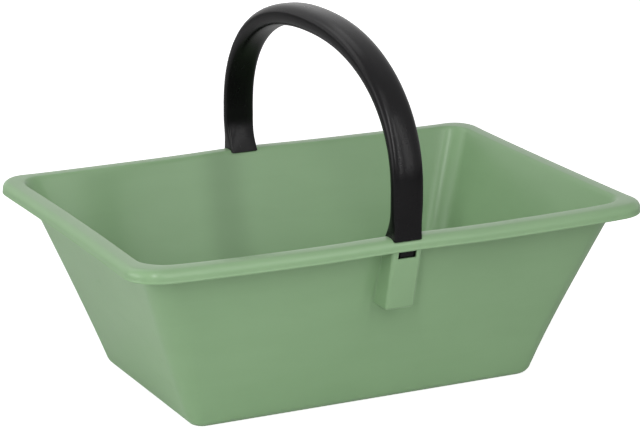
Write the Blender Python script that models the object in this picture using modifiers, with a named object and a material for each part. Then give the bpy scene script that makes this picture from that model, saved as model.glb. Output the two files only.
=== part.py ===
"""Harvest trug: one moulded tub with a rolled rim and two sockets under it, and a plug-in arch handle.

Metres, +Z up. The origin is the centre of the tub's underside, +X runs along the tub, and the front
long wall is on the -Y side. The handle is one moulding too; its two snap catches are objects of their
own, because they bend when the handle is let go.
"""

import math

import bmesh
import bpy

# Tub: overall sizes
RIM_LENGTH = 0.500
RIM_WIDTH = 0.3448
TUB_HEIGHT = 0.1715
BASE_LENGTH = 0.3380
BASE_WIDTH = 0.2030
WALL = 0.0025

# Tub: rim and corners
RIM_FLANGE = 0.0179
RIM_SKIRT = 0.0115
RIM_ROLL = 0.0070
RIM_INNER_FILLET = 0.0040
SKIRT_DRAFT = 0.0003
RIM_OUTER_CORNER = 0.0280
RIM_INNER_CORNER = 0.0290
BASE_CORNER = 0.0085
BASE_FILLET = 0.0055
LONG_SIDE_BOW = 0.0050
SHORT_SIDE_HOLLOW = 0.0020
SEAT_RISE = 0.0014
SEAT_REACH = 0.0550
RIM_SAG = 0.00065
SEAT_DEPTH = 0.0025

# Sockets under the rim at the middle of the long walls
SOCKET_WIDTH = 0.0288
SOCKET_TAPER = 0.0002
SOCKET_DROP = 0.0562
SOCKET_LEAN = 0.0140
SOCKET_CORNER = 0.0028
SOCKET_WALL = 0.0018
SHOULDER_DROP = 0.0042
HEAD_DROP = 0.0020
WINDOW_WIDTH = 0.0178
WINDOW_HEIGHT = 0.0065
SLOT_WIDTH = 0.0190
SLOT_DEPTH = 0.0115

# Handle
FOOT_WIDTH = 0.0265
GRIP_WIDTH = 0.0296
LEG_THICKNESS = 0.0134
CROWN_THICKNESS = 0.0212
LEG_BULGE = 0.0022
ARCH_TOP = 0.3394
LEG_TOP = 0.2109
FOOT_DEPTH = 0.0205
FLARE_HEIGHT = 0.0318
FOOT_CORNER = 0.0016
GRIP_CORNER_SHARE = 0.96
GRIP_CROWN = 0.0011
CORNER_BLEND_HEIGHT = 0.0340
OUTER_ARCH_POWER = 2.22
INNER_ARCH_POWER = 2.249

# Plug, catch and fits
FIT = 0.0003
PLUG_LENGTH = 0.0330
PLUG_BACK = 0.0022
CHANNEL_WIDTH = 0.0130
CHANNEL_ROOF = 0.0024
CATCH_THICKNESS = 0.0019
CATCH_LENGTH = 0.0215
NOSE_REACH = 0.0034
NOSE_HEIGHT = 0.0040
NOSE_RAMP = 0.0040
NOSE_OVER_SILL = 0.0016

# Cutters and steps
OVERRUN = 0.0040
SKIN_KEEP = 0.0005
CORNER_STEPS = 6
LONG_STEPS = 12
SHORT_STEPS = 6
FILLET_STEPS = 3
ROLL_STEPS = 5
WALL_STEPS = 3
LEG_STEPS = 8
ARCH_STEPS = 28
SECTION_CORNER_STEPS = 4

SMOOTH_ANGLE = math.radians(35)

TUB_COLOUR = (0.262, 0.418, 0.238, 1.0)
HANDLE_COLOUR = (0.016, 0.015, 0.017, 1.0)
TUB_ROUGHNESS = 0.42
HANDLE_ROUGHNESS = 0.38


def clear_scene():
    for item in list(bpy.data.objects):
        bpy.data.objects.remove(item, do_unlink=True)


def new_collection(name):
    made = bpy.data.collections.new(name)
    bpy.context.scene.collection.children.link(made)
    return made


def plastic(name, colour, roughness):
    made = bpy.data.materials.new(name)
    made.use_nodes = True
    shader = made.node_tree.nodes["Principled BSDF"]
    shader.inputs["Base Color"].default_value = colour
    shader.inputs["Roughness"].default_value = roughness
    shader.inputs["Metallic"].default_value = 0.0
    made.diffuse_color = colour
    return made


def loft(name, rings, close_ends):
    """A skin through rings of equal counts; each ring runs anticlockwise as seen from the end it is closed at."""
    build = bmesh.new()
    loops = [[build.verts.new(point) for point in ring] for ring in rings]
    for low, high in zip(loops, loops[1:]):
        for here in range(len(low)):
            there = (here + 1) % len(low)
            build.faces.new((low[here], low[there], high[there], high[here]))
    if "first" in close_ends:
        build.faces.new(list(reversed(loops[0])))
    if "last" in close_ends:
        build.faces.new(loops[-1])
    bmesh.ops.recalc_face_normals(build, faces=build.faces)
    mesh = bpy.data.meshes.new(name)
    build.to_mesh(mesh)
    build.free()
    return bpy.data.objects.new(name, mesh)


def box(name, low, high):
    """A cube primitive stretched between two corners."""
    build = bmesh.new()
    bmesh.ops.create_cube(build, size=1.0)
    for vert in build.verts:
        for axis in range(3):
            middle = (low[axis] + high[axis]) / 2
            vert.co[axis] = middle + (high[axis] - low[axis]) * vert.co[axis]
    mesh = bpy.data.meshes.new(name)
    build.to_mesh(mesh)
    build.free()
    return bpy.data.objects.new(name, mesh)


def prism(name, outline, half_width):
    """A (y, z) outline drawn out along X to half_width each way."""
    near = [(-half_width, y, z) for y, z in outline]
    far = [(half_width, y, z) for y, z in outline]
    return loft(name, [near, far], ("first", "last"))


def mirrored(points, side):
    """Points drawn for the +Y side, or turned half a turn about Z for the -Y side."""
    return [(x * side, y * side, z) for x, y, z in points]


def boolean(target, cutter, operation, cutters):
    cutters.objects.link(cutter)
    cutter.hide_render = True
    cutter.display_type = "WIRE"
    step = target.modifiers.new(cutter.name, "BOOLEAN")
    step.operation = operation
    step.solver = "EXACT"
    step.object = cutter


def finish(item, material, parts):
    item.data.materials.append(material)
    parts.objects.link(item)


# Tub


def rim_height(x, share):
    """How far the long side's rim stands over its nominal height: it sags a little, and rises at the handle."""
    rise = SEAT_RISE * math.exp(-((x / SEAT_REACH) ** 2))
    sag = RIM_SAG * max(0, 1 - (2 * x / RIM_LENGTH) ** 2)
    return (rise - sag) * share


def tub_ring(half_length, half_width, corner, height, share):
    """A rounded rectangle whose sides bow, anticlockwise from above; share is how much of the rim's bow it has."""
    flat_x = half_length - corner
    flat_y = half_width - corner
    points = []
    for quarter, (cx, cy) in enumerate(((1, 1), (-1, 1), (-1, -1), (1, -1))):
        for step in range(CORNER_STEPS + 1):
            angle = math.pi / 2 * (quarter + step / CORNER_STEPS)
            x = cx * flat_x + corner * math.cos(angle)
            y = cy * flat_y + corner * math.sin(angle)
            points.append((x, y))
        along_x = quarter % 2 == 0
        steps = LONG_STEPS if along_x else SHORT_STEPS
        start = points[-1]
        reach = 2 * (flat_x if along_x else flat_y)
        for step in range(1, steps):
            if along_x:
                points.append((start[0] - cy * reach * step / steps, start[1]))
            else:
                points.append((start[0], start[1] + cx * reach * step / steps))
    bowed = []
    for x, y in points:
        long_side = abs(abs(y) - half_width) <= abs(abs(x) - half_length)
        lift = 0.0
        if long_side and abs(x) <= flat_x:
            y *= 1 + LONG_SIDE_BOW * share * (1 - (x / flat_x) ** 2) / half_width
            lift = rim_height(x, share**4) * (1 - (x / flat_x) ** 8)
        elif abs(y) <= flat_y:
            x *= 1 - SHORT_SIDE_HOLLOW * share * (1 - (y / flat_y) ** 2) / half_length
        bowed.append((x, y, height + lift))
    return bowed


def inner_half(outer_base, outer_rim):
    """Half sizes of the inside skin's sharp corners: where it would meet the floor, and the rim's top."""
    top = outer_rim / 2 - RIM_FLANGE
    slope = (top - outer_base / 2) / TUB_HEIGHT
    thickness = WALL * math.sqrt(1 + slope**2)
    bottom = outer_base / 2 + slope * WALL - thickness
    return bottom, top


def wall_ring(height, run_in, run_out, share):
    """A ring of the inside skin at a height, run_in short of the floor's corner or run_out past the rim's."""
    rise_share = (height - WALL) / (TUB_HEIGHT - WALL)
    halves = []
    for base, rim in ((BASE_LENGTH, RIM_LENGTH), (BASE_WIDTH, RIM_WIDTH)):
        bottom, top = inner_half(base, rim)
        halves.append(bottom + (top - bottom) * rise_share - run_in + run_out)
    corner = BASE_CORNER + (RIM_INNER_CORNER - BASE_CORNER) * rise_share
    return tub_ring(halves[0], halves[1], corner - run_in / 2, height, share)


def tub_rings():
    """The skin that shows from above: floor, inside fillet, wall, rim, rolled edge and skirt."""
    rings = []
    for step in range(FILLET_STEPS + 1):
        way = step / FILLET_STEPS
        height = WALL + BASE_FILLET * way**2
        rings.append(wall_ring(height, BASE_FILLET * (1 - way) ** 2, 0, height / TUB_HEIGHT))
    low = WALL + BASE_FILLET
    high = TUB_HEIGHT - RIM_INNER_FILLET
    for step in range(1, WALL_STEPS + 1):
        height = low + (high - low) * step / WALL_STEPS
        rings.append(wall_ring(height, 0, 0, height / TUB_HEIGHT))
    for step in range(1, FILLET_STEPS + 1):
        way = step / FILLET_STEPS
        height = TUB_HEIGHT - RIM_INNER_FILLET * (1 - way) ** 2
        rings.append(wall_ring(height, 0, RIM_INNER_FILLET * way**2, 1))
    for step in range(ROLL_STEPS + 1):
        angle = math.pi / 2 * step / ROLL_STEPS
        inset = RIM_ROLL * (1 - math.sin(angle))
        height = TUB_HEIGHT - RIM_ROLL * (1 - math.cos(angle))
        rings.append(rim_ring(inset, height))
    rings.append(rim_ring(-SKIRT_DRAFT, TUB_HEIGHT - RIM_SKIRT))
    return rings


def rim_ring(inset, height):
    return tub_ring(
        RIM_LENGTH / 2 - inset, RIM_WIDTH / 2 - inset, RIM_OUTER_CORNER - inset, height, 1
    )


def rim_edge():
    """The rim's outer edge at the middle of a long side."""
    return RIM_WIDTH / 2 + LONG_SIDE_BOW


def rim_top():
    """The rim's top at the middle of a long side."""
    return TUB_HEIGHT + SEAT_RISE - RIM_SAG


def seat_height():
    """The flat that a foot stands on, let into the rolled rim."""
    return rim_top() - SEAT_DEPTH


def wall_outside(height):
    """The long wall's outer face at its middle."""
    bottom, top = inner_half(BASE_WIDTH, RIM_WIDTH)
    slope = (top + LONG_SIDE_BOW - bottom) / (TUB_HEIGHT - WALL)
    return bottom + slope * (height - WALL) + WALL * math.sqrt(1 + slope**2)


def skirt_bottom():
    """The skirt's lower edge at the middle of a long side."""
    return rim_top() - RIM_SKIRT


def socket_bottom():
    return skirt_bottom() - SOCKET_DROP


def socket_front(height):
    """The socket's front face: upright behind the skirt, then leaning in towards the wall."""
    return rim_edge() - WALL / 2 - SOCKET_LEAN * max(0, skirt_bottom() - height) / SOCKET_DROP


def socket_ring(height, inset, back, side, setback=0):
    """A rectangle with its two front corners rounded, drawn in by inset, and by setback more at the front."""
    drop_share = (skirt_bottom() - height) / SOCKET_DROP
    half = SOCKET_WIDTH / 2 - SOCKET_TAPER * max(0, drop_share) - inset
    front = socket_front(height) - inset - setback
    corner = max(SOCKET_CORNER - inset, SKIN_KEEP)
    points = [(-half, back, height), (half, back, height)]
    for quarter, cx in ((0, half - corner), (1, corner - half)):
        for step in range(FILLET_STEPS + 1):
            angle = math.pi / 2 * (quarter + step / FILLET_STEPS)
            x = cx + corner * math.cos(angle)
            points.append((x, front - corner + corner * math.sin(angle), height))
    return mirrored(points, side)


def socket_block(name, side):
    """The solid that the socket is cut from; its back lies in the wall's thickness and its top in the rim's."""
    rings = []
    for step in range(FILLET_STEPS + 1):
        angle = math.pi / 2 * step / FILLET_STEPS
        height = socket_bottom() + SOCKET_CORNER * (1 - math.cos(angle))
        inset = SOCKET_CORNER * (1 - math.sin(angle))
        rings.append(socket_ring(height, inset, wall_outside(height) - WALL / 2, side))
    shoulder = rim_top() - SHOULDER_DROP
    head = rim_top() - HEAD_DROP
    for height, setback in ((skirt_bottom(), 0), (shoulder, 0), (head, HEAD_DROP)):
        rings.append(socket_ring(height, 0, wall_outside(height) - WALL / 2, side, setback))
    return loft(name, rings, ("first", "last"))


def socket_pocket(name, side):
    """The hollow of the socket, which the plug hangs in."""
    rings = []
    for height in (socket_bottom() + SOCKET_WALL, skirt_bottom(), pocket_roof()):
        rings.append(socket_ring(height, SOCKET_WALL, wall_outside(height) + SKIN_KEEP, side))
    return loft(name, rings, ("first", "last"))


def pocket_roof():
    return rim_top() - SHOULDER_DROP + SKIN_KEEP


def slot_span():
    """The slot's inner and outer edges, through the rim and under the handle's foot."""
    outer = socket_front(skirt_bottom()) - SOCKET_WALL - SKIN_KEEP
    return outer - SLOT_DEPTH, outer


def window_span():
    """The window's sill and head, straight under the skirt."""
    head = skirt_bottom() - FIT
    return head - WINDOW_HEIGHT, head


def side_box(name, half_width, near, far, low, high, side):
    """A box on one long side, from near to far outwards."""
    ends = sorted((near * side, far * side))
    return box(name, (-half_width, ends[0], low), (half_width, ends[1], high))


def make_tub(material, parts, cutters):
    tub = loft("tub", tub_rings(), ("first",))
    shell = tub.modifiers.new("wall", "SOLIDIFY")
    shell.thickness = WALL
    shell.offset = -1.0
    shell.use_even_offset = True
    inner, outer = slot_span()
    sill, head = window_span()
    slot_low = pocket_roof() - OVERRUN
    slot_high = rim_top() + OVERRUN
    for side, place in ((-1, "front"), (1, "rear")):
        boolean(tub, socket_block(place + "_socket_block", side), "UNION", cutters)
        boolean(tub, socket_pocket(place + "_socket_pocket", side), "DIFFERENCE", cutters)
        slot = side_box(place + "_slot", SLOT_WIDTH / 2, inner, outer, slot_low, slot_high, side)
        boolean(tub, slot, "DIFFERENCE", cutters)
        near = rim_edge() - FOOT_DEPTH - FIT
        half = FOOT_WIDTH / 2 + FIT
        far = rim_edge() + OVERRUN
        seat = side_box(place + "_seat", half, near, far, seat_height(), slot_high, side)
        boolean(tub, seat, "DIFFERENCE", cutters)
        near = socket_front(sill) - SOCKET_WALL - OVERRUN
        window = side_box(place + "_window", WINDOW_WIDTH / 2, near, far, sill, head, side)
        boolean(tub, window, "DIFFERENCE", cutters)
    tub.data.shade_smooth()
    tub.data.set_sharp_from_angle(angle=SMOOTH_ANGLE)
    finish(tub, material, parts)


# Handle


def foot_height():
    return seat_height() + FIT


def leg_faces(height):
    """The leg's outer and inner faces below the arch: the inner one flares out into the foot."""
    outer = rim_edge() + LEG_BULGE * min(1, (height - foot_height()) / FLARE_HEIGHT)
    leg = rim_edge() + LEG_BULGE - LEG_THICKNESS
    foot = rim_edge() - FOOT_DEPTH
    way = max(0, 1 - (height - foot_height()) / FLARE_HEIGHT)
    return outer, leg - (leg - foot) * way**2


def arch_faces(angle):
    """Outer and inner points of the arch, from 0 at the +Y leg to pi at the -Y leg."""
    points = []
    for power, inset, drop in (
        (OUTER_ARCH_POWER, 0, 0),
        (INNER_ARCH_POWER, LEG_THICKNESS, CROWN_THICKNESS),
    ):
        across = math.copysign(abs(math.cos(angle)) ** (2 / power), math.cos(angle))
        up = abs(math.sin(angle)) ** (2 / power)
        half = rim_edge() + LEG_BULGE - inset
        points.append((half * across, LEG_TOP + (ARCH_TOP - drop - LEG_TOP) * up))
    return points


def section(outer, inner):
    """A ring of the handle between an outer and an inner point: square-cornered at the foot, rounded above."""
    depth = math.hypot(outer[0] - inner[0], outer[1] - inner[1])
    way = ((outer[0] - inner[0]) / depth, (outer[1] - inner[1]) / depth)
    middle = ((outer[0] + inner[0]) / 2, (outer[1] + inner[1]) / 2)
    round_share = min(1, (middle[1] - foot_height()) / CORNER_BLEND_HEIGHT)
    round_share = round_share**2 * (3 - 2 * round_share)
    crown = GRIP_CROWN * round_share
    half_depth = depth / 2 - crown
    corner = FOOT_CORNER + (GRIP_CORNER_SHARE * half_depth - FOOT_CORNER) * round_share
    half_width = (FOOT_WIDTH + (GRIP_WIDTH - FOOT_WIDTH) * round_share) / 2
    points = []
    for quarter, (cx, cy) in enumerate(((1, 1), (-1, 1), (-1, -1), (1, -1))):
        for step in range(SECTION_CORNER_STEPS + 1):
            angle = math.pi / 2 * (quarter + step / SECTION_CORNER_STEPS)
            x = cx * (half_width - corner) + corner * math.cos(angle)
            y = cy * (half_depth - corner) + corner * math.sin(angle)
            points.append((x, y))
        if quarter % 2 == 0:
            points.append((0, cy * half_depth))
    ring = []
    for x, y in points:
        across = y + math.copysign(crown * (1 - (x / half_width) ** 2), y)
        ring.append((x, middle[0] + way[0] * across, middle[1] + way[1] * across))
    return ring


def handle_rings():
    rings = []
    for step in range(LEG_STEPS):
        height = foot_height() + (LEG_TOP - foot_height()) * step / LEG_STEPS
        outer, inner = leg_faces(height)
        rings.append(section((outer, height), (inner, height)))
    for step in range(ARCH_STEPS + 1):
        rings.append(section(*arch_faces(math.pi * step / ARCH_STEPS)))
    for step in reversed(range(LEG_STEPS)):
        height = foot_height() + (LEG_TOP - foot_height()) * step / LEG_STEPS
        outer, inner = leg_faces(height)
        rings.append(section((-outer, height), (-inner, height)))
    return rings


def plug_outline(side):
    """The plug in (y, z): it fills the slot, then its front draws back along the socket's sloping face."""
    inner, outer = slot_span()
    top = foot_height() + OVERRUN
    tip = foot_height() - PLUG_LENGTH
    lean = socket_front(skirt_bottom()) - socket_front(tip)
    points = [
        (inner + FIT, top),
        (inner + FIT, tip),
        (outer - FIT - lean, tip),
        (outer - FIT, skirt_bottom()),
        (outer - FIT, top),
    ]
    return [(y * side, z) for y, z in points]


def channel_roof():
    return foot_height() - CHANNEL_ROOF


def make_handle(material, parts, cutters):
    handle = loft("handle", handle_rings(), ("first", "last"))
    inner, outer = slot_span()
    for side, place in ((-1, "front"), (1, "rear")):
        plug = prism(place + "_plug", plug_outline(side), SLOT_WIDTH / 2 - FIT)
        boolean(handle, plug, "UNION", cutters)
        near = inner + FIT + PLUG_BACK
        low = foot_height() - PLUG_LENGTH - OVERRUN
        channel = side_box(
            place + "_channel", CHANNEL_WIDTH / 2, near, outer + OVERRUN, low, channel_roof(), side
        )
        boolean(handle, channel, "DIFFERENCE", cutters)
    handle.data.shade_smooth()
    handle.data.set_sharp_from_angle(angle=SMOOTH_ANGLE)
    finish(handle, material, parts)


# Snap catches


def catch_pivot(side):
    """Where the catch bends: the middle of its root."""
    face = slot_span()[1] - FIT - NOSE_REACH
    return (0, side * (face - CATCH_THICKNESS / 2), channel_roof() - FIT)


def catch_outline(side):
    """The catch in (y, z) from its pivot: a spring tongue with a nose that shows in the window."""
    half = CATCH_THICKNESS / 2
    nose = half + NOSE_REACH
    nose_low = window_span()[0] + NOSE_OVER_SILL - catch_pivot(side)[2]
    points = [
        (-half, 0),
        (-half, -CATCH_LENGTH),
        (half, -CATCH_LENGTH),
        (half, nose_low - NOSE_RAMP),
        (nose, nose_low),
        (nose, nose_low + NOSE_HEIGHT),
        (half, nose_low + NOSE_HEIGHT),
        (half, 0),
    ]
    return [(y * side, z) for y, z in points]


def make_catches(material, parts):
    for side, place in ((-1, "front"), (1, "rear")):
        catch = prism(place + "_catch", catch_outline(side), CHANNEL_WIDTH / 2 - FIT)
        catch.location = catch_pivot(side)
        finish(catch, material, parts)


def main():
    clear_scene()
    parts = new_collection("harvest_trug")
    cutters = new_collection("cutters")
    green = plastic("tub_green", TUB_COLOUR, TUB_ROUGHNESS)
    black = plastic("handle_black", HANDLE_COLOUR, HANDLE_ROUGHNESS)
    make_tub(green, parts, cutters)
    make_handle(black, parts, cutters)
    make_catches(black, parts)


main()
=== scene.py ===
"""A harvest trug on a pale studio floor: a green moulded tub, and the black arch handle that snaps into it.

All sizes are in metres.
"""

import math

import bmesh
import bpy
from mathutils import Matrix, Vector


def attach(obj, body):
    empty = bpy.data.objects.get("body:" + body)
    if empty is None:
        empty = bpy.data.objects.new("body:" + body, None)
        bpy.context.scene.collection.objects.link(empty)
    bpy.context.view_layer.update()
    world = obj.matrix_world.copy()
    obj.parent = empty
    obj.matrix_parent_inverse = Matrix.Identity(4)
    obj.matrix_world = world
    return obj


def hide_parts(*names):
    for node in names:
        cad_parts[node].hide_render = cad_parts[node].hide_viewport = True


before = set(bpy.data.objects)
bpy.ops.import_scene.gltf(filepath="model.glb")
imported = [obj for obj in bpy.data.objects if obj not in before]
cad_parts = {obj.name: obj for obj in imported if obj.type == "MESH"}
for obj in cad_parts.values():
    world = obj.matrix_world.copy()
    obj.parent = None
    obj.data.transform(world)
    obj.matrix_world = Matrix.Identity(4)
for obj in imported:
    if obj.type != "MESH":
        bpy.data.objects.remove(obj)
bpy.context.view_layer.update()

# Tub
# One injection moulding in sage green polypropylene: a flat floor, four walls that lean out and bow,
# and a rim that rolls over into a short beaded skirt. Each long side carries a socket under the rim.

TUB_HEIGHT = 0.1715
TUB_WALL = 0.0025
BASE_LENGTH = 0.3380
BASE_WIDTH = 0.2030
RIM_LENGTH = 0.5012
RIM_WIDTH = 0.3428
SIDE_BOW = 0.0060
END_HOLLOW = 0.0022
RIM_FLANGE = 0.0179
RIM_SKIRT = 0.0115
RIM_ROLL = 0.0070
RIM_CROWN = 0.0002
RIM_BEAD = 0.00015
SKIRT_HOLLOW = 0.0002
BEAD_HEIGHT = 0.0024
BEAD_RUN_SHARE = 1.4
RIM_INNER_EDGE = 0.0024
RIM_INNER_DROP = 0.0045
RIM_ROOT = 0.0038
INNER_CORNER = 0.0250
WALL_CORNER = 0.0212
OUTER_CORNER = 0.0280
BASE_CORNER = 0.0085
CORNER_GROWTH_POWER = 4
FLOOR_FILLET = 0.0055
BASE_FILLET = 0.0072
LEVEL_CUT_STRETCH = 1.065
RIM_START_STRETCH = 1.07
SEAT_RISE = 0.0014
SEAT_REACH = 0.0550
SEAT_DEPTH = 0.0025
RIM_SAG = 0.00065
END_RISE = 0.0003
CORNER_RISE = 0.0018
CORNER_RISE_POWER = 6
CORNER_STEPS = 12
SIDE_STEPS = 40
ROUND_STEPS = 6
ROLL_STEPS = 10
WALL_STEPS = 10
CROWN_STEPS = 8
WHOLE_NUMBER_NUDGE = 1e-5
WELD_DISTANCE = 0.000002
SHARP_ANGLE = math.radians(32)


class Measure:
    """A size on a node tree. Sums and products of measures become Math nodes there."""

    def __init__(self, tree, socket):
        self.tree = tree
        self.socket = socket

    def work(self, operation, *others):
        """The result of a Math node that takes this measure and the others."""
        node = self.tree.nodes.new("ShaderNodeMath")
        node.operation = operation
        for place, value in enumerate((self, *others)):
            if isinstance(value, Measure):
                self.tree.links.new(value.socket, node.inputs[place])
            else:
                node.inputs[place].default_value = value
        return Measure(self.tree, node.outputs[0])

    def __add__(self, other):
        return self.work("ADD", other)

    def __sub__(self, other):
        return self.work("SUBTRACT", other)

    def __rsub__(self, other):
        return self.work("MULTIPLY_ADD", -1, other)

    def __mul__(self, other):
        return self.work("MULTIPLY", other)

    def __rmul__(self, other):
        return self.work("MULTIPLY", other)

    def __truediv__(self, other):
        return self.work("DIVIDE", other)

    def __rtruediv__(self, other):
        return self.work("POWER", -1) * other

    def __pow__(self, other):
        return self.work("POWER", other)

    def at_most(self, other):
        return self.work("MINIMUM", other)

    def at_least(self, other):
        return self.work("MAXIMUM", other)

    def towards(self, other, share):
        return self + (other - self) * share

    def eased(self):
        """The share 0 to 1 with soft ends."""
        return self * self * (3 - 2 * self)


def new_tree(name, kind, sizes, results):
    """A node group with named inputs and outputs, and the measures of its inputs by name."""
    tree = bpy.data.node_groups.new(name, kind)
    for label, sort in sizes:
        tree.interface.new_socket(name=label, in_out="INPUT", socket_type="NodeSocket" + sort)
    for label, sort in results:
        tree.interface.new_socket(name=label, in_out="OUTPUT", socket_type="NodeSocket" + sort)
    given = tree.nodes.new("NodeGroupInput")
    made = tree.nodes.new("NodeGroupOutput")
    sizes_by_name = {label: Measure(tree, given.outputs[label]) for label, _ in sizes}
    return tree, sizes_by_name, made


def put(tree, kind, **links):
    """A node whose sockets are filled from measures, sockets or plain values, by the socket's name."""
    node = tree.nodes.new(kind)
    for label, value in links.items():
        socket = node.inputs[label.replace("_", " ")]
        if isinstance(value, Measure):
            tree.links.new(value.socket, socket)
        elif isinstance(value, bpy.types.NodeSocket):
            tree.links.new(value, socket)
        else:
            socket.default_value = value
    return node


def rounded_outline():
    """The place of a column on a rounded rectangle, anticlockwise from where its +X end turns a corner."""
    names = ("Column", "Corner Steps", "Side Steps", "Half Length", "Half Width", "Corner")
    sizes = [(name, "Float") for name in names]
    tree, given, made = new_tree(
        "rounded_outline", "GeometryNodeTree", sizes, [("Along", "Float"), ("Across", "Float")]
    )
    steps = given["Corner Steps"] + given["Side Steps"]
    quarter = (given["Column"] / steps + WHOLE_NUMBER_NUDGE).work("FLOOR")
    step = given["Column"] - quarter * steps
    turn = (quarter + (step / given["Corner Steps"]).at_most(1)) * (math.pi / 2)
    way = (step - given["Corner Steps"]).at_least(0) / given["Side Steps"]
    here = (quarter + 0.5) * (math.pi / 2)
    there = (quarter + 1.5) * (math.pi / 2)
    for label, half, wave in (("Along", "Half Length", "COSINE"), ("Across", "Half Width", "SINE")):
        side = here.work(wave).work("SIGN").towards(there.work(wave).work("SIGN"), way)
        place = side * (given[half] - given["Corner"]) + given["Corner"] * turn.work(wave)
        tree.links.new(place.socket, made.inputs[label])
    return tree


def outline_place(tree, outline, column, corner_steps, side_steps, half_length, half_width, corner):
    """Where the rounded outline puts a column, as measures along and across."""
    node = tree.nodes.new("GeometryNodeGroup")
    node.node_tree = outline
    values = (column, corner_steps, side_steps, half_length, half_width, corner)
    for socket, value in zip(node.inputs, values):
        tree.links.new(value.socket, socket)
    return Measure(tree, node.outputs["Along"]), Measure(tree, node.outputs["Across"])


def skin_of_rows(tree, rows, columns, place_of, material, made):
    """Closes rows by columns of points into a smooth skin, each point put where place_of says."""
    grid = put(tree, "GeometryNodeMeshGrid", Vertices_X=columns + 1, Vertices_Y=rows)
    index = Measure(tree, tree.nodes.new("GeometryNodeInputIndex").outputs["Index"])
    column = ((index + 0.5) / rows).work("FLOOR")
    along, across, height = place_of(column, index - column * rows)
    place = put(tree, "ShaderNodeCombineXYZ", X=along, Y=across, Z=height)
    skin = grid.outputs["Mesh"]
    for kind, values in (
        ("GeometryNodeSetPosition", {"Position": place.outputs["Vector"]}),
        ("GeometryNodeMergeByDistance", {"Distance": WELD_DISTANCE}),
        ("GeometryNodeSetShadeSmooth", {}),
        ("GeometryNodeRealizeInstances", {}),
        ("GeometryNodeSetMaterial", {"Material": material}),
    ):
        skin = put(tree, kind, Geometry=skin, **values).outputs["Geometry"]
    tree.links.new(skin, made.inputs["Geometry"])


def tub_tree(outline):
    """Wraps the wall's section round the trug. A point of the section is outward, corner radius, height."""
    names = (
        "Wall Height", "Base Half Length", "Base Half Width", "Rim Half Length", "Rim Half Width",
        "Floor", "Wall", "Rim Root", "Side Bow", "End Hollow", "Seat Rise", "Seat Reach",
        "Rim Sag", "End Rise", "Corner Rise", "Skirt", "Corner Steps", "Side Steps",
    )
    sizes = [("Geometry", "Geometry"), ("Material", "Material")] + [(name, "Float") for name in names]
    tree, given, made = new_tree("trug_tub", "GeometryNodeTree", sizes, [("Geometry", "Geometry")])
    count = put(tree, "GeometryNodeAttributeDomainSize", Geometry=given["Geometry"])
    rows = Measure(tree, count.outputs["Point Count"])

    def place_of(column, row):
        section = tree.nodes.new("GeometryNodeSampleIndex")
        section.data_type = "FLOAT_VECTOR"
        tree.links.new(given["Geometry"].socket, section.inputs["Geometry"])
        position = tree.nodes.new("GeometryNodeInputPosition")
        tree.links.new(position.outputs["Position"], section.inputs["Value"])
        tree.links.new(row.socket, section.inputs["Index"])
        point = put(tree, "ShaderNodeSeparateXYZ", Vector=section.outputs["Value"])
        outward, corner, height = (Measure(tree, socket) for socket in point.outputs)
        # The wall leans out from the base to the rim. Past its outer face, every point keeps the rim's place.
        rise = (height - given["Floor"]) / (given["Wall Height"] - given["Floor"])
        rim_share = ((outward - given["Wall"]) / given["Rim Root"]).at_least(0).at_most(1)
        rise = rise.towards(1, rim_share)
        half_length = given["Base Half Length"].towards(given["Rim Half Length"], rise) + outward
        half_width = given["Base Half Width"].towards(given["Rim Half Width"], rise) + outward
        x, y = outline_place(
            tree, outline, column, given["Corner Steps"], given["Side Steps"],
            half_length, half_width, corner,
        )
        # The long sides bow out and the ends are drawn in, more and more up to the skirt.
        share = (height / (given["Wall Height"] - given["Skirt"])).at_most(1)
        x_share = x / half_length
        y_share = y / half_width
        bow = given["Side Bow"] * share * (1 - x_share * x_share) * y_share
        hollow = given["End Hollow"] * share * (1 - y_share * y_share) * x_share
        # The rim sags a little along the sides, and rises at the handle, at the ends and at the corners.
        reach = x / given["Seat Reach"]
        rim_rise = given["Seat Rise"] * (-1 * reach * reach).work("EXPONENT")
        sag = given["Rim Sag"] * (1 - x_share * x_share).at_least(0)
        end_rise = given["End Rise"] * (1 - y_share * y_share).at_least(0) * x_share * x_share
        nook = x_share * y_share
        corner_rise = given["Corner Rise"] * (nook * nook) ** CORNER_RISE_POWER
        lift = share * share * share * share * (rim_rise - sag + end_rise + corner_rise)
        return x - hollow, y + bow, height + lift

    columns = (given["Corner Steps"] + given["Side Steps"]) * 4
    skin_of_rows(tree, rows, columns, place_of, given["Material"], made)
    return tree


def wall_half(base, rim, height):
    """Half a size of the inside wall, carried straight up and down to any height."""
    top = rim / 2 - RIM_FLANGE
    lean = (top - base / 2) / TUB_HEIGHT
    bottom = base / 2 + lean * TUB_WALL - TUB_WALL * math.hypot(1, lean)
    return bottom + (top - bottom) * (height - TUB_WALL) / (TUB_HEIGHT - TUB_WALL)


def wall_corner(height):
    """The inside corner's radius, which grows fast above the floor and then stays nearly the same."""
    left = (TUB_HEIGHT - height) / (TUB_HEIGHT - TUB_WALL)
    return WALL_CORNER + (BASE_CORNER - WALL_CORNER) * left**CORNER_GROWTH_POWER


def wall_line(outward, thickness, start, end):
    """Points along one face of the wall, from one height to another."""
    heights = [start + (end - start) * step / WALL_STEPS for step in range(1, WALL_STEPS + 1)]
    return [(outward, wall_corner(height) + thickness, height) for height in heights]


def weighed(start, bend, end, near, far):
    """A point among three: near and far are the shares of the first and the last."""
    return tuple(near * a + (1 - near - far) * b + far * c for a, b, c in zip(start, bend, end))


def rounded(start, bend, end, steps=ROUND_STEPS):
    """Points from start to end on the quarter round that fits the corner at bend."""
    turns = [math.pi / 2 * step / steps for step in range(steps + 1)]
    return [weighed(start, bend, end, 1 - math.sin(turn), 1 - math.cos(turn)) for turn in turns]


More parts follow.
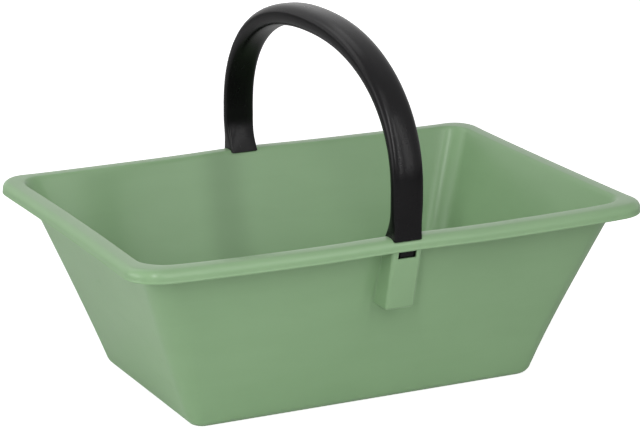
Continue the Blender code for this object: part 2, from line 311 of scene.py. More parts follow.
def bent(start, bend, end, steps=ROUND_STEPS):
    """Points from start to end on the slack curve that bend pulls out."""
    ways = [step / steps for step in range(steps + 1)]
    return [weighed(start, bend, end, (1 - way) ** 2, way**2) for way in ways]


def on_rim(outward, height):
    """A point of the rim, with the corner radius that keeps every line round the rim parallel to its edge."""
    return (outward, OUTER_CORNER + outward - RIM_FLANGE, height)


def wall_section():
    """The wall cut through, from the floor over the rim and back to the base, as outward, corner, height."""
    top = TUB_HEIGHT
    under = TUB_HEIGHT - TUB_WALL
    lip = TUB_HEIGHT - RIM_SKIRT
    edge = RIM_INNER_EDGE
    # The wall leans, so it is a little wider cut level than it is thick.
    outside = TUB_WALL * LEVEL_CUT_STRETCH
    skirt = RIM_FLANGE - SKIRT_HOLLOW
    roll = skirt - RIM_ROLL
    bead = RIM_FLANGE + RIM_BEAD
    back = RIM_FLANGE - TUB_WALL
    inner_roll = RIM_ROLL - TUB_WALL
    fillet_top = TUB_WALL + FLOOR_FILLET
    drop = TUB_HEIGHT - RIM_INNER_DROP
    bead_round = BEAD_HEIGHT / 2
    points = [(-wall_half(BASE_WIDTH, RIM_WIDTH, TUB_WALL), 0, TUB_WALL)]
    points += rounded(
        (-FLOOR_FILLET, BASE_CORNER - FLOOR_FILLET / 2, TUB_WALL),
        (0, BASE_CORNER, TUB_WALL),
        (0, wall_corner(fillet_top), fillet_top),
    )
    points += wall_line(0, 0, fillet_top, drop)
    points += rounded(points[-1], (0, WALL_CORNER, top), (edge, INNER_CORNER, top))[1:]
    crown_corner = (INNER_CORNER + on_rim(roll, top)[1]) / 2
    crown = ((edge + roll) / 2, crown_corner, top + 2 * RIM_CROWN)
    points += bent(points[-1], crown, on_rim(roll, top), CROWN_STEPS)[1:]
    points += rounded(points[-1], on_rim(skirt, top), on_rim(skirt, top - RIM_ROLL), ROLL_STEPS)[1:]
    points += bent(
        on_rim(skirt, lip + BEAD_HEIGHT * BEAD_RUN_SHARE),
        on_rim(skirt, lip + BEAD_HEIGHT),
        on_rim(bead, lip + bead_round),
    )
    points += rounded(points[-1], on_rim(bead, lip), on_rim(bead - bead_round, lip))[1:]
    points += rounded(on_rim(back + bead_round, lip), on_rim(back, lip), on_rim(back, lip + bead_round))
    points += rounded(
        on_rim(back, under - inner_roll), on_rim(back, under), on_rim(back - inner_roll, under)
    )
    hip = wall_corner(under) + TUB_WALL
    points += rounded(
        (outside + RIM_ROOT, hip, under), (outside, hip, under), (outside, hip, under - RIM_ROOT)
    )
    points += wall_line(outside, TUB_WALL, under - RIM_ROOT, BASE_FILLET)
    base_corner = BASE_CORNER + TUB_WALL
    base_end = (outside - BASE_FILLET, base_corner - BASE_FILLET / 2, 0)
    points += rounded(points[-1], (outside, base_corner, 0), base_end)[1:]
    points.append((-wall_half(BASE_WIDTH, RIM_WIDTH, 0), 0, 0))
    return points


def loose_mesh(name, points, edges=(), faces=()):
    """An object made of the given points, edges and faces."""
    mesh = bpy.data.meshes.new(name)
    mesh.from_pydata(points, edges, faces)
    item = bpy.data.objects.new(name, mesh)
    bpy.context.scene.collection.objects.link(item)
    return item


def run_tree(item, tree, sizes):
    """Puts the tree on the object with its sizes, each set by its socket's identifier."""
    maker = item.modifiers.new(tree.name, "NODES")
    maker.node_group = tree
    for socket in tree.interface.items_tree:
        if socket.in_out == "INPUT" and socket.name in sizes:
            maker[socket.identifier] = sizes[socket.name]


def turn_outwards(mesh):
    """Turns the faces of a closed mesh outwards."""
    build = bmesh.new()
    build.from_mesh(mesh)
    bmesh.ops.recalc_face_normals(build, faces=build.faces)
    if build.calc_volume(signed=True) < 0:
        bmesh.ops.reverse_faces(build, faces=build.faces)
    build.to_mesh(mesh)
    build.free()


def plain(item, name, material):
    """The object with its modifiers carried out, as a plain mesh of its own that faces outwards."""
    shape = item.evaluated_get(bpy.context.evaluated_depsgraph_get())
    mesh = bpy.data.meshes.new_from_object(shape)
    mesh.name = name
    mesh.materials.clear()
    mesh.materials.append(material)
    turn_outwards(mesh)
    for face in mesh.polygons:
        face.material_index = 0
    made = bpy.data.objects.new(name, mesh)
    bpy.context.scene.collection.objects.link(made)
    bpy.data.objects.remove(item, do_unlink=True)
    return made


def joined_and_cut(item, name, material, blocks, hollows):
    """The object with blocks joined on and then hollows cut out, as a plain mesh. Both are used up."""
    for operation, tools in (("UNION", blocks), ("DIFFERENCE", hollows)):
        for tool in tools:
            step = item.modifiers.new(tool.name, "BOOLEAN")
            step.operation = operation
            step.solver = "EXACT"
            step.object = tool
    made = plain(item, name, material)
    for tool in blocks + hollows:
        bpy.data.objects.remove(tool, do_unlink=True)
    return made


def shade(item):
    """Shades the object smooth, but for its sharp edges."""
    item.data.shade_smooth()
    item.data.set_sharp_from_angle(angle=SHARP_ANGLE)


def drawn_out(name, outline, half_width, foot_half_width=None):
    """A (y, z) outline drawn out along X each way; its lowest points may lie closer in."""
    low = min(z for _, z in outline)
    count = len(outline)
    points = []
    for side in (-1, 1):
        for y, z in outline:
            half = foot_half_width if foot_half_width and z == low else half_width
            points.append((side * half, y, z))
    faces = [tuple(range(count)), tuple(reversed(range(count, 2 * count)))]
    for here in range(count):
        there = (here + 1) % count
        faces.append((here, here + count, there + count, there))
    item = loose_mesh(name, points, faces=faces)
    turn_outwards(item.data)
    return item


def round_edges(item, radius, steps, chosen=lambda a, b: True):
    """Rounds the object's edges, or those that chosen picks by their two ends."""
    build = bmesh.new()
    build.from_mesh(item.data)
    edges = [edge for edge in build.edges if chosen(edge.verts[0].co, edge.verts[1].co)]
    bmesh.ops.bevel(
        build, geom=edges, offset=radius, segments=steps,
        profile=0.5, affect="EDGES", clamp_overlap=True,
    )
    build.to_mesh(item.data)
    build.free()


# The two sockets hang under the rim. Each is a closed pocket with a slot through the rim above it for the
# handle's plug, and a window high in its front where the catch shows. Their outer edges are rounded.

SOCKET_WIDTH = 0.0288
SOCKET_TAPER = 0.0002
SOCKET_DROP = 0.0562
SOCKET_LEAN = 0.0140
SOCKET_CORNER = 0.0031
SOCKET_CORNER_STEPS = 5
SOCKET_WALL = 0.0018
SOCKET_ROOT = 0.0016
SHOULDER_DROP = 0.0042
HEAD_DROP = 0.0020
WINDOW_WIDTH = 0.0178
WINDOW_HEIGHT = 0.0065
SLOT_WIDTH = 0.0190
SLOT_DEPTH = 0.0115
FIT = 0.0003
SKIN = 0.0005
OVERRUN = 0.0040
RIM_EDGE = RIM_WIDTH / 2 + SIDE_BOW
RIM_TOP = TUB_HEIGHT + SEAT_RISE - RIM_SAG
SEAT = RIM_TOP - SEAT_DEPTH
SKIRT_BOTTOM = RIM_TOP - RIM_SKIRT
SOCKET_BOTTOM = SKIRT_BOTTOM - SOCKET_DROP
FOOT_WIDTH = 0.0265
FOOT_DEPTH = 0.0205


def wall_outside(height):
    """The long wall's outer face at its middle."""
    share = min(1, height / SKIRT_BOTTOM)
    return wall_half(BASE_WIDTH, RIM_WIDTH, height) + SIDE_BOW * share + TUB_WALL * LEVEL_CUT_STRETCH


def socket_front(height):
    """The socket's outer face, which leans in below the skirt."""
    return RIM_EDGE - TUB_WALL / 2 - SOCKET_LEAN * max(0, SKIRT_BOTTOM - height) / SOCKET_DROP


SLOT_OUTER = socket_front(SKIRT_BOTTOM) - SOCKET_WALL - SKIN


def on_side(side, points):
    """A (y, z) outline on the front side, -1, or the rear side, 1."""
    return [(y * side, z) for y, z in points]


def box_between(name, half_width, near, far, low, high):
    """A box about the middle, between two places across the trug and two heights."""
    return drawn_out(name, [(near, low), (far, low), (far, high), (near, high)], half_width)


def socket_root(side):
    """The hollow round where the socket's cheeks run out into the wall."""
    turns = [math.pi / 2 * step / ROUND_STEPS for step in range(ROUND_STEPS + 1)]
    cheek = [(1 - math.sin(turn), 1 - math.cos(turn)) for turn in turns]
    rings = (
        (SOCKET_BOTTOM + SKIN, SOCKET_WIDTH / 2 - SOCKET_CORNER),
        (SOCKET_BOTTOM + SOCKET_CORNER, SOCKET_WIDTH / 2 - SKIN / 2),
        (RIM_TOP - SHOULDER_DROP, SOCKET_WIDTH / 2),
    )
    points = []
    for height, half_width in rings:
        half = [(half_width + SOCKET_ROOT, -TUB_WALL / 2)]
        half += [(half_width + SOCKET_ROOT * wide, SOCKET_ROOT * out) for wide, out in cheek]
        whole = half + [(-wide, out) for wide, out in reversed(half)]
        points += [(x, side * (wall_outside(height) + out), height) for x, out in whole]
    count = len(points) // len(rings)
    faces = [tuple(reversed(range(count))), tuple(range(count * (len(rings) - 1), count * len(rings)))]
    for low in range(0, count * (len(rings) - 1), count):
        for here in range(count):
            there = (here + 1) % count
            faces.append((low + here, low + there, low + count + there, low + count + here))
    root = loose_mesh("socket_root", points, faces=faces)
    turn_outwards(root.data)
    return root


def socket_tools(side):
    """The solids that become the socket, and what is cut from them: pocket, slot, foot's seat and window."""
    shoulder = RIM_TOP - SHOULDER_DROP
    head = RIM_TOP - HEAD_DROP
    block = drawn_out(
        "socket_block",
        on_side(
            side,
            [
                (wall_outside(SOCKET_BOTTOM) - TUB_WALL / 2, SOCKET_BOTTOM),
                (socket_front(SOCKET_BOTTOM), SOCKET_BOTTOM),
                (socket_front(SKIRT_BOTTOM), SKIRT_BOTTOM),
                (socket_front(SKIRT_BOTTOM), shoulder),
                (socket_front(SKIRT_BOTTOM) - HEAD_DROP, head),
                (wall_outside(head) - TUB_WALL / 2, head),
            ],
        ),
        SOCKET_WIDTH / 2,
        SOCKET_WIDTH / 2 - SOCKET_TAPER,
    )
    wall_face = wall_outside(SOCKET_BOTTOM)

    def outer_edge(a, b):
        """The front's upright edges, and the bottom's but for the one inside the wall."""
        front = all(abs(p.y) > socket_front(p.z) - HEAD_DROP - SKIN for p in (a, b))
        bottom = all(p.z < SOCKET_BOTTOM + SKIN for p in (a, b))
        across = abs(a.x - b.x) > SKIN
        back = all(abs(p.y) < wall_face for p in (a, b))
        return (front and (bottom or not across)) or (bottom and not back)

    round_edges(block, SOCKET_CORNER, SOCKET_CORNER_STEPS, outer_edge)
    floor = SOCKET_BOTTOM + SOCKET_WALL
    roof = shoulder + SKIN
    pocket = drawn_out(
        "socket_pocket",
        on_side(
            side,
            [
                (wall_outside(floor) + SKIN, floor),
                (socket_front(floor) - SOCKET_WALL, floor),
                (socket_front(SKIRT_BOTTOM) - SOCKET_WALL, SKIRT_BOTTOM),
                (socket_front(SKIRT_BOTTOM) - SOCKET_WALL, roof),
                (wall_outside(roof) + SKIN, roof),
            ],
        ),
        SOCKET_WIDTH / 2 - SOCKET_WALL,
    )
    slot = box_between(
        "socket_slot", SLOT_WIDTH / 2, side * (SLOT_OUTER - SLOT_DEPTH), side * SLOT_OUTER,
        roof - OVERRUN, RIM_TOP + OVERRUN,
    )
    seat = box_between(
        "foot_seat", FOOT_WIDTH / 2 + FIT,
        side * (RIM_EDGE - FOOT_DEPTH - FIT), side * (RIM_EDGE + OVERRUN),
        SEAT, RIM_TOP + OVERRUN,
    )
    window_head = SKIRT_BOTTOM - FIT
    window = box_between(
        "socket_window", WINDOW_WIDTH / 2,
        side * (socket_front(window_head - WINDOW_HEIGHT) - SOCKET_WALL - OVERRUN),
        side * (RIM_EDGE + OVERRUN), window_head - WINDOW_HEIGHT, window_head,
    )
    return [block, socket_root(side)], [pocket, slot, seat, window]


# The finish of both mouldings: a fine sparked grain, the faint wave of a cooled skin, colour that clouds a
# little where the plastic flowed, and light rub marks.

GRAIN_SCALE = 2600.0
WAVE_SCALE = 70.0
CLOUD_SCALE = 11.0
STREAK_SCALE = 34.0
RUB_SCALE = 190.0
STREAK_STRETCH = (0.35, 0.35, 1.6)
STREAK_BEND = 0.6
STREAK_SHARE = 0.35
CLOUD_CONTRAST = 2.2
RUB_STRETCH = (1.0, 0.12, 0.5)
RUB_TURN = (0.4, 0.9, 0.3)
RUB_BEND = 1.2
RUB_START = 0.63
RUB_CONTRAST = 6.0
RUB_DULLING = 0.12
RUB_HEIGHT = 0.05
GRAIN_HEIGHT = 0.10
RELIEF_DEPTH = 0.0004


def moulded_finish():
    """Colour, roughness and height of a moulded skin, on the piece's own Object coordinates."""
    sizes = [("Colour", "Color"), ("Cloud Colour", "Color"), ("Clouding", "Float")]
    sizes += [("Gloss Floor", "Float"), ("Gloss Range", "Float"), ("Wave", "Float"), ("Rub", "Float")]
    results = [("Colour", "Color"), ("Roughness", "Float"), ("Height", "Float")]
    tree, given, made = new_tree("moulded_finish", "ShaderNodeTree", sizes, results)
    place = tree.nodes.new("ShaderNodeTexCoord").outputs["Object"]

    def noise(scale, detail, where=place, bend=0.0):
        node = put(tree, "ShaderNodeTexNoise", Scale=scale, Detail=detail, Vector=where, Distortion=bend)
        return Measure(tree, node.outputs["Fac"])

    stretched = put(tree, "ShaderNodeMapping", Vector=place, Scale=STREAK_STRETCH)
    cloud = noise(CLOUD_SCALE, detail=3.0)
    streak = noise(STREAK_SCALE, 4.0, stretched.outputs["Vector"], STREAK_BEND)
    grain = noise(GRAIN_SCALE, detail=2.0)
    wave = noise(WAVE_SCALE, detail=1.0)
    turned = put(tree, "ShaderNodeMapping", Vector=place, Scale=RUB_STRETCH, Rotation=RUB_TURN)
    mark = noise(RUB_SCALE, 5.0, turned.outputs["Vector"], RUB_BEND)
    rub = ((mark - RUB_START).at_least(0) * RUB_CONTRAST * given["Rub"]).at_most(1)
    flow = cloud * (1 - STREAK_SHARE) + streak * STREAK_SHARE - 0.5
    blend = (flow * CLOUD_CONTRAST * given["Clouding"] + 0.5).at_least(0).at_most(1)
    clouded = tree.nodes.new("ShaderNodeMix")
    clouded.data_type = "RGBA"
    tree.links.new(blend.socket, clouded.inputs["Factor"])
    tree.links.new(given["Colour"].socket, clouded.inputs["A"])
    tree.links.new(given["Cloud Colour"].socket, clouded.inputs["B"])
    tree.links.new(clouded.outputs["Result"], made.inputs["Colour"])
    gloss = given["Gloss Floor"] + given["Gloss Range"] * (cloud * 0.5 + grain * 0.5) + rub * RUB_DULLING
    tree.links.new(gloss.socket, made.inputs["Roughness"])
    relief = grain * GRAIN_HEIGHT + wave * given["Wave"] + rub * RUB_HEIGHT
    tree.links.new(relief.socket, made.inputs["Height"])
    return tree


def moulded_material(name, finish, values, specular, bump):
    """A material whose colour, roughness and relief come from the moulded finish."""
    material = bpy.data.materials.new(name)
    material.use_nodes = True
    tree = material.node_tree
    shader = tree.nodes["Principled BSDF"]
    skin = tree.nodes.new("ShaderNodeGroup")
    skin.node_tree = finish
    for label, value in values.items():
        skin.inputs[label].default_value = value
    relief = put(
        tree, "ShaderNodeBump", Height=skin.outputs["Height"], Strength=bump, Distance=RELIEF_DEPTH
    )
    tree.links.new(skin.outputs["Colour"], shader.inputs["Base Color"])
    tree.links.new(skin.outputs["Roughness"], shader.inputs["Roughness"])
    tree.links.new(relief.outputs["Normal"], shader.inputs["Normal"])
    shader.inputs["Specular IOR Level"].default_value = specular
    return material


moulded_skin = moulded_finish()
tub_green = moulded_material(
    "tub_green",
    moulded_skin,
    {
        "Colour": (0.241, 0.388, 0.210, 1.0),
        "Cloud Colour": (0.269, 0.424, 0.235, 1.0),
        "Clouding": 1.0,
        "Gloss Floor": 0.24,
        "Gloss Range": 0.12,
        "Wave": 0.45,
        "Rub": 0.6,
    },
    specular=0.35,
    bump=0.35,
)

section_points = wall_section()
section_edges = [(here, here + 1) for here in range(len(section_points) - 1)]
tub_wall = loose_mesh("wall_section", section_points, edges=section_edges)
outline_tree = rounded_outline()
run_tree(
    tub_wall,
    tub_tree(outline_tree),
    {
        "Material": tub_green,
        "Wall Height": TUB_HEIGHT,
        "Base Half Length": wall_half(BASE_LENGTH, RIM_LENGTH, TUB_WALL),
        "Base Half Width": wall_half(BASE_WIDTH, RIM_WIDTH, TUB_WALL),
        "Rim Half Length": wall_half(BASE_LENGTH, RIM_LENGTH, TUB_HEIGHT),
        "Rim Half Width": wall_half(BASE_WIDTH, RIM_WIDTH, TUB_HEIGHT),
        "Floor": TUB_WALL,
        "Wall": TUB_WALL * RIM_START_STRETCH,
        "Rim Root": RIM_ROOT,
        "Side Bow": SIDE_BOW,
        "End Hollow": END_HOLLOW,
        "Seat Rise": SEAT_RISE,
        "Seat Reach": SEAT_REACH,
        "Rim Sag": RIM_SAG,
        "End Rise": END_RISE,
        "Corner Rise": CORNER_RISE,
        "Skirt": RIM_SKIRT,
        "Corner Steps": float(CORNER_STEPS),
        "Side Steps": float(SIDE_STEPS),
    },
)
tub_shell = plain(tub_wall, "tub_shell", tub_green)
blocks = []
hollows = []
for side in (-1, 1):
    solids, cuts = socket_tools(side)
    blocks += solids
    hollows += cuts
tub = joined_and_cut(tub_shell, "trug_tub", tub_green, blocks, hollows)
shade(tub)
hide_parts("tub")
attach(tub, "tub")

# Handle
# One injection moulding in black polypropylene: square feet that flare inwards on the rim, and an arch that
# rounds into a broad crowned grip. A channelled plug under each foot fills the slot and hangs in the socket.

GRIP_WIDTH = 0.0296
LEG_THICKNESS = 0.0134
CROWN_THICKNESS = 0.0212
LEG_BULGE = 0.0022
ARCH_TOP = 0.3394
LEG_TOP = 0.2109
FLARE_HEIGHT = 0.0318
FOOT_CORNER = 0.0016
FOOT_EDGE = 0.0005
GRIP_CORNER_SHARE = 0.50
GRIP_POWER = 2.8
CORNER_BLEND_HEIGHT = 0.0340
OUTER_ARCH_POWER = 2.22
INNER_ARCH_POWER = 2.249
PLUG_LENGTH = 0.0330
PLUG_BACK = 0.0022
PLUG_EDGE = 0.0006
PLUG_EDGE_STEPS = 2
CHANNEL_WIDTH = 0.0130
CHANNEL_ROOF = 0.0024
LEG_STEPS = 24
ARCH_STEPS = 48
GRIP_CORNER_STEPS = 8
GRIP_SIDE_STEPS = 8
END_ROWS = 2
FOOT_BOTTOM = SEAT + FIT
PLUG_TIP = FOOT_BOTTOM - PLUG_LENGTH


def handle_tree(outline):
    """Sweeps a section along the arch: square at the feet, rounded and crowned above."""
    names = (
        "Seat Height", "Foot Edge", "Leg Top", "Arch Top", "Foot Reach", "Foot Depth", "Leg Bulge",
        "Leg Thickness", "Crown Thickness", "Flare Height", "Outer Power", "Inner Power", "Foot Width",
        "Grip Width", "Foot Corner", "Grip Corner Share", "Grip Power", "Blend Height", "Leg Steps",
        "Arch Steps", "Corner Steps", "Side Steps",
    )
    sizes = [("Geometry", "Geometry"), ("Material", "Material")] + [(name, "Float") for name in names]
    tree, given, made = new_tree("arch_handle", "GeometryNodeTree", sizes, [("Geometry", "Geometry")])
    last = (given["Leg Steps"] + given["Arch Steps"] + END_ROWS) * 2

    def place_of(column, row):
        # Rows run from one foot over the crown to the other. The outermost ones close the feet.
        side = (last / 2 - row).work("SIGN")
        from_end = row.at_most(last - row)
        station = (from_end - END_ROWS).at_least(0)
        leg_share = (station / given["Leg Steps"]).at_most(1)
        angle = (station - given["Leg Steps"]).at_least(0) / given["Arch Steps"] * (math.pi / 2)
        seated = from_end.work("LESS_THAN", END_ROWS)
        foot = given["Seat Height"] + given["Foot Edge"] * (1 - seated)
        height = foot.towards(given["Leg Top"], leg_share)
        # Above the foot, the leg's outside swells out a little, and its inside flares in down to the foot.
        over_seat = (height - given["Seat Height"]) / given["Flare Height"]
        leg_outer = given["Foot Reach"] + given["Leg Bulge"] * over_seat.at_most(1).eased()
        leg_inner = given["Foot Reach"] + given["Leg Bulge"] - given["Leg Thickness"]
        flare = (1 - over_seat).at_least(0)
        flare_depth = given["Foot Depth"] + given["Leg Bulge"] - given["Leg Thickness"]
        leg_inner = leg_inner - flare_depth * flare * flare
        # Above the legs, the outer and the inner line are slightly squared ellipses up to the crown.
        level = angle.work("COSINE").at_least(0)
        climb = angle.work("SINE").at_least(0)
        arch_rise = given["Arch Top"] - given["Leg Top"]
        outer_y = leg_outer * level ** (2 / given["Outer Power"])
        outer_z = height + arch_rise * climb ** (2 / given["Outer Power"])
        inner_y = leg_inner * level ** (2 / given["Inner Power"])
        inner_rise = arch_rise - given["Crown Thickness"]
        inner_z = height + inner_rise * climb ** (2 / given["Inner Power"])
        deep_y = outer_y - inner_y
        deep_z = outer_z - inner_z
        depth = (deep_y * deep_y + deep_z * deep_z).work("SQRT")
        # The section lies across the two lines, square at the foot and rounder up to the grip.
        middle_y = (outer_y + inner_y) * 0.5
        middle_z = (outer_z + inner_z) * 0.5
        rounding = ((middle_z - given["Seat Height"]) / given["Blend Height"]).at_most(1).eased()
        open_end = from_end.work("GREATER_THAN", 0.5)
        half_depth = (depth * 0.5 - given["Foot Edge"] * seated) * open_end
        width = given["Foot Width"].towards(given["Grip Width"], rounding)
        half_width = (width * 0.5 - given["Foot Edge"] * seated) * open_end
        grip_corner = given["Grip Corner Share"] * half_depth
        corner = given["Foot Corner"].towards(grip_corner, rounding) * open_end
        x, across = outline_place(
            tree, outline, column, given["Corner Steps"], given["Side Steps"],
            half_width, half_depth, corner,
        )
        # In the grip, the rounded block is pulled onto one smooth curve.
        x_reach = (x / half_width).work("ABSOLUTE") ** given["Grip Power"]
        y_reach = (across / half_depth).work("ABSOLUTE") ** given["Grip Power"]
        pull = (x_reach + y_reach) ** (rounding / given["Grip Power"])
        x = x / pull
        across = across / pull
        y = side * (middle_y + deep_y / depth * across)
        return x, y, middle_z + deep_z / depth * across

    columns = (given["Corner Steps"] + given["Side Steps"]) * 4
    skin_of_rows(tree, last + 1, columns, place_of, given["Material"], made)
    return tree


def plug_outline():
    """The plug in (y, z): it fills the slot, and its front draws back along the socket's sloping face."""
    lean = socket_front(SKIRT_BOTTOM) - socket_front(PLUG_TIP)
    top = FOOT_BOTTOM + OVERRUN
    back = SLOT_OUTER - SLOT_DEPTH + FIT
    front = SLOT_OUTER - FIT
    return [(back, top), (back, PLUG_TIP), (front - lean, PLUG_TIP), (front, SKIRT_BOTTOM), (front, top)]


handle_black = moulded_material(
    "handle_black",
    moulded_skin,
    {
        "Colour": (0.0036, 0.0033, 0.0038, 1.0),
        "Cloud Colour": (0.0056, 0.0052, 0.0059, 1.0),
        "Clouding": 0.8,
        "Gloss Floor": 0.20,
        "Gloss Range": 0.10,
        "Wave": 0.35,
        "Rub": 0.8,
    },
    specular=0.155,
    bump=0.35,
)
arch = loose_mesh("arch", [(0, 0, 0)])
run_tree(
    arch,
    handle_tree(outline_tree),
    {
        "Material": handle_black,
        "Seat Height": FOOT_BOTTOM,
        "Foot Edge": FOOT_EDGE,
        "Leg Top": LEG_TOP,
        "Arch Top": ARCH_TOP,
        "Foot Reach": RIM_EDGE,
        "Foot Depth": FOOT_DEPTH,
        "Leg Bulge": LEG_BULGE,
        "Leg Thickness": LEG_THICKNESS,
        "Crown Thickness": CROWN_THICKNESS,
        "Flare Height": FLARE_HEIGHT,
        "Outer Power": OUTER_ARCH_POWER,
        "Inner Power": INNER_ARCH_POWER,
        "Foot Width": FOOT_WIDTH,
        "Grip Width": GRIP_WIDTH,
        "Foot Corner": FOOT_CORNER,
        "Grip Corner Share": GRIP_CORNER_SHARE,
        "Grip Power": GRIP_POWER,
        "Blend Height": CORNER_BLEND_HEIGHT,
        "Leg Steps": float(LEG_STEPS),
        "Arch Steps": float(ARCH_STEPS),
        "Corner Steps": float(GRIP_CORNER_STEPS),
        "Side Steps": float(GRIP_SIDE_STEPS),
    },
)
arch = plain(arch, "arch_handle", handle_black)
plugs = []
channels = []
for side in (-1, 1):
    outline = plug_outline()
    plug = drawn_out("plug", on_side(side, outline), SLOT_WIDTH / 2 - FIT)
    round_edges(plug, PLUG_EDGE, PLUG_EDGE_STEPS)
    plugs.append(plug)
    back = outline[0][0] + PLUG_BACK
    channels.append(
        box_between(
            "channel", CHANNEL_WIDTH / 2, side * back, side * (RIM_EDGE + OVERRUN),
            PLUG_TIP - OVERRUN, FOOT_BOTTOM - CHANNEL_ROOF,
        )
    )
handle = joined_and_cut(arch, "carrying_handle", handle_black, plugs, channels)
shade(handle)
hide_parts("handle")
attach(handle, "handle")

# Snap catches
# Springy tongues of the handle's black moulding, one in each plug's channel, joined to it at the root. The
# nose stands behind the socket's window, where it shows, and gives way when it is pressed.

CATCH_THICKNESS = 0.0019
CATCH_LENGTH = 0.0215
NOSE_REACH = 0.0034
NOSE_HEIGHT = 0.0040
NOSE_RAMP = 0.0040
NOSE_OVER_SILL = 0.0016
CATCH_EDGE = 0.00035
CATCH_EDGE_STEPS = 3

for side, end in ((-1, "front"), (1, "rear")):
    face = SLOT_OUTER - FIT - NOSE_REACH
    root = SEAT - CHANNEL_ROOF
    nose = SKIRT_BOTTOM - FIT - WINDOW_HEIGHT + NOSE_OVER_SILL
    catch_outline = [
        (face - CATCH_THICKNESS, root),
        (face - CATCH_THICKNESS, root - CATCH_LENGTH),
        (face, root - CATCH_LENGTH),
        (face, nose - NOSE_RAMP),
        (face + NOSE_REACH, nose),
        (face + NOSE_REACH, nose + NOSE_HEIGHT),
        (face, nose + NOSE_HEIGHT),
        (face, root),
    ]
    tongue = drawn_out("tongue", on_side(side, catch_outline), CHANNEL_WIDTH / 2 - FIT)
    round_edges(tongue, CATCH_EDGE, CATCH_EDGE_STEPS)
    catch = plain(tongue, end + "_snap_catch", handle_black)
    shade(catch)
    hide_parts(end + "_catch")
    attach(catch, end + "_catch")

# Studio
# A pale floor that runs out of sight, and a white surround. Three tall strips stand in front, a broad box at
# the left, and boxes above and behind. Two low fills light the back and the right end, out of the gloss.

WHITE = (1.0, 1.0, 1.0, 1.0)
SURROUND_LIGHT = 0.05
FLOOR_SIZE = 12.0
FLOOR_DROP = 0.0002
FLOOR_COLOUR = (0.86, 0.86, 0.86, 1.0)
FLOOR_GLOW = 0.86
LIGHT_AIM = Vector((0, 0, 0.15))
LAMP_DISTANCE = 1.8


def chosen_by(tree, share, usual, other):
    """A mix of two shaders: the usual one, and the other where the share is 1."""
    choice = put(tree, "ShaderNodeMixShader", Fac=share)
    tree.links.new(usual, choice.inputs[1])
    tree.links.new(other, choice.inputs[2])
    return choice.outputs["Shader"]


world = bpy.data.worlds.new("studio")
bpy.context.scene.world = world
world.use_nodes = True
sky = world.node_tree
fill = sky.nodes["Background"]
fill.inputs["Color"].default_value = WHITE
fill.inputs["Strength"].default_value = SURROUND_LIGHT
white = put(sky, "ShaderNodeBackground", Color=WHITE, Strength=1.0)
sight = sky.nodes.new("ShaderNodeLightPath")
seen = Measure(sky, sight.outputs["Is Camera Ray"])
seen = seen.at_least(Measure(sky, sight.outputs["Is Glossy Ray"]))
seen = seen.at_least(Measure(sky, sight.outputs["Is Transmission Ray"]))
surround = chosen_by(sky, seen, fill.outputs["Background"], white.outputs["Background"])
sky.links.new(surround, sky.nodes["World Output"].inputs["Surface"])

half_floor = FLOOR_SIZE / 2
floor = loose_mesh(
    "studio_floor",
    [(x * half_floor, y * half_floor, -FLOOR_DROP) for x, y in ((-1, -1), (1, -1), (1, 1), (-1, 1))],
    faces=[(0, 1, 2, 3)],
)
floor_pale = bpy.data.materials.new("floor_pale")
floor_pale.use_nodes = True
floor_nodes = floor_pale.node_tree
paint = floor_nodes.nodes["Principled BSDF"]
paint.inputs["Base Color"].default_value = FLOOR_COLOUR
paint.inputs["Roughness"].default_value = 0.9
paint.inputs["Specular IOR Level"].default_value = 0.1
glow = put(floor_nodes, "ShaderNodeEmission", Strength=FLOOR_GLOW)
both = floor_nodes.nodes.new("ShaderNodeAddShader")
eye = floor_nodes.nodes.new("ShaderNodeLightPath")
floor_nodes.links.new(paint.outputs["BSDF"], both.inputs[0])
floor_nodes.links.new(glow.outputs["Emission"], both.inputs[1])
look = chosen_by(
    floor_nodes, eye.outputs["Is Camera Ray"], paint.outputs["BSDF"], both.outputs["Shader"]
)
floor_nodes.links.new(look, floor_nodes.nodes["Material Output"].inputs["Surface"])
floor.data.materials.append(floor_pale)


def way_out(turn, lift):
    """The way out from the trug, turned from the front towards the right and lifted, both in degrees."""
    turn, lift = math.radians(turn), math.radians(lift)
    return Vector((math.sin(turn) * math.cos(lift), -math.cos(turn) * math.cos(lift), math.sin(lift)))


def soft_box(name, turn, lift, width, height, power, distance=LAMP_DISTANCE, in_gloss=True):
    """A rectangular lamp that stands off that way and faces the trug."""
    lamp = bpy.data.lights.new(name, "AREA")
    lamp.shape = "RECTANGLE"
    lamp.size = width
    lamp.size_y = height
    lamp.energy = power
    item = bpy.data.objects.new(name, lamp)
    place = LIGHT_AIM + way_out(turn, lift) * distance
    item.location = place
    item.rotation_euler = (LIGHT_AIM - place).to_track_quat("-Z", "Y").to_euler()
    item.visible_glossy = in_gloss
    bpy.context.scene.collection.objects.link(item)


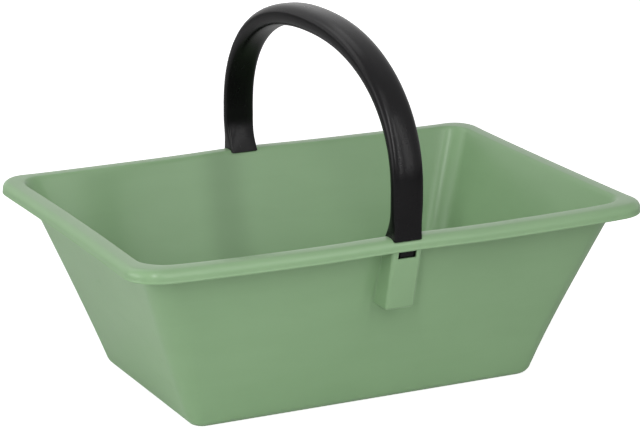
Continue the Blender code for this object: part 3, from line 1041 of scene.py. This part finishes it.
soft_box("left_strip", turn=-32, lift=33, width=0.03, height=1.3, power=11.5)
soft_box("middle_strip", turn=5, lift=27, width=0.10, height=1.5, power=6.2)
soft_box("right_strip", turn=24, lift=27, width=0.10, height=1.5, power=4.2)
soft_box("left_box", turn=-92, lift=14, width=1.4, height=1.0, power=13.4)
soft_box("high_box", turn=-20, lift=62, width=0.8, height=0.8, power=2.8)
soft_box("back_box", turn=180, lift=60, width=0.8, height=0.8, power=2.4)
soft_box("back_left_box", turn=-135, lift=45, width=0.5, height=0.5, power=1.2, distance=1.0)
soft_box("rear_fill", turn=175, lift=3, width=1.0, height=0.5, power=5.0, in_gloss=False)
soft_box("right_fill", turn=105, lift=3, width=1.0, height=0.5, power=2.6, in_gloss=False)

# Camera
# A long lens that looks from the left of the front, a little above the rim. A small shift frames the picture
# as the photograph is framed.

CAMERA_TURN = -26.03306
CAMERA_LIFT = 16.29066
CAMERA_DISTANCE = 2.55342
CAMERA_AIM = (-0.00693, 0, 0.13638)
IMAGE_WIDTH = 640
IMAGE_HEIGHT = 428
SENSOR = 36.0
FOCAL_PIXELS = 2794.404
CENTRE_PIXELS = (310.76424, 227.84723)

back = way_out(CAMERA_TURN, CAMERA_LIFT)
right = Vector((math.cos(math.radians(CAMERA_TURN)), math.sin(math.radians(CAMERA_TURN)), 0))
up = back.cross(right)
camera = bpy.data.objects.new("camera", bpy.data.cameras.new("camera"))
bpy.context.scene.collection.objects.link(camera)
stand = Matrix.Translation(Vector(CAMERA_AIM) + back * CAMERA_DISTANCE)
camera.matrix_world = stand @ Matrix((right, up, back)).transposed().to_4x4()
camera.data.sensor_width = SENSOR
camera.data.lens = FOCAL_PIXELS * SENSOR / IMAGE_WIDTH
camera.data.shift_x = (IMAGE_WIDTH / 2 - CENTRE_PIXELS[0]) / IMAGE_WIDTH
camera.data.shift_y = (CENTRE_PIXELS[1] - IMAGE_HEIGHT / 2) / IMAGE_WIDTH
bpy.context.scene.camera = camera
bpy.context.scene.view_settings.view_transform = "Standard"
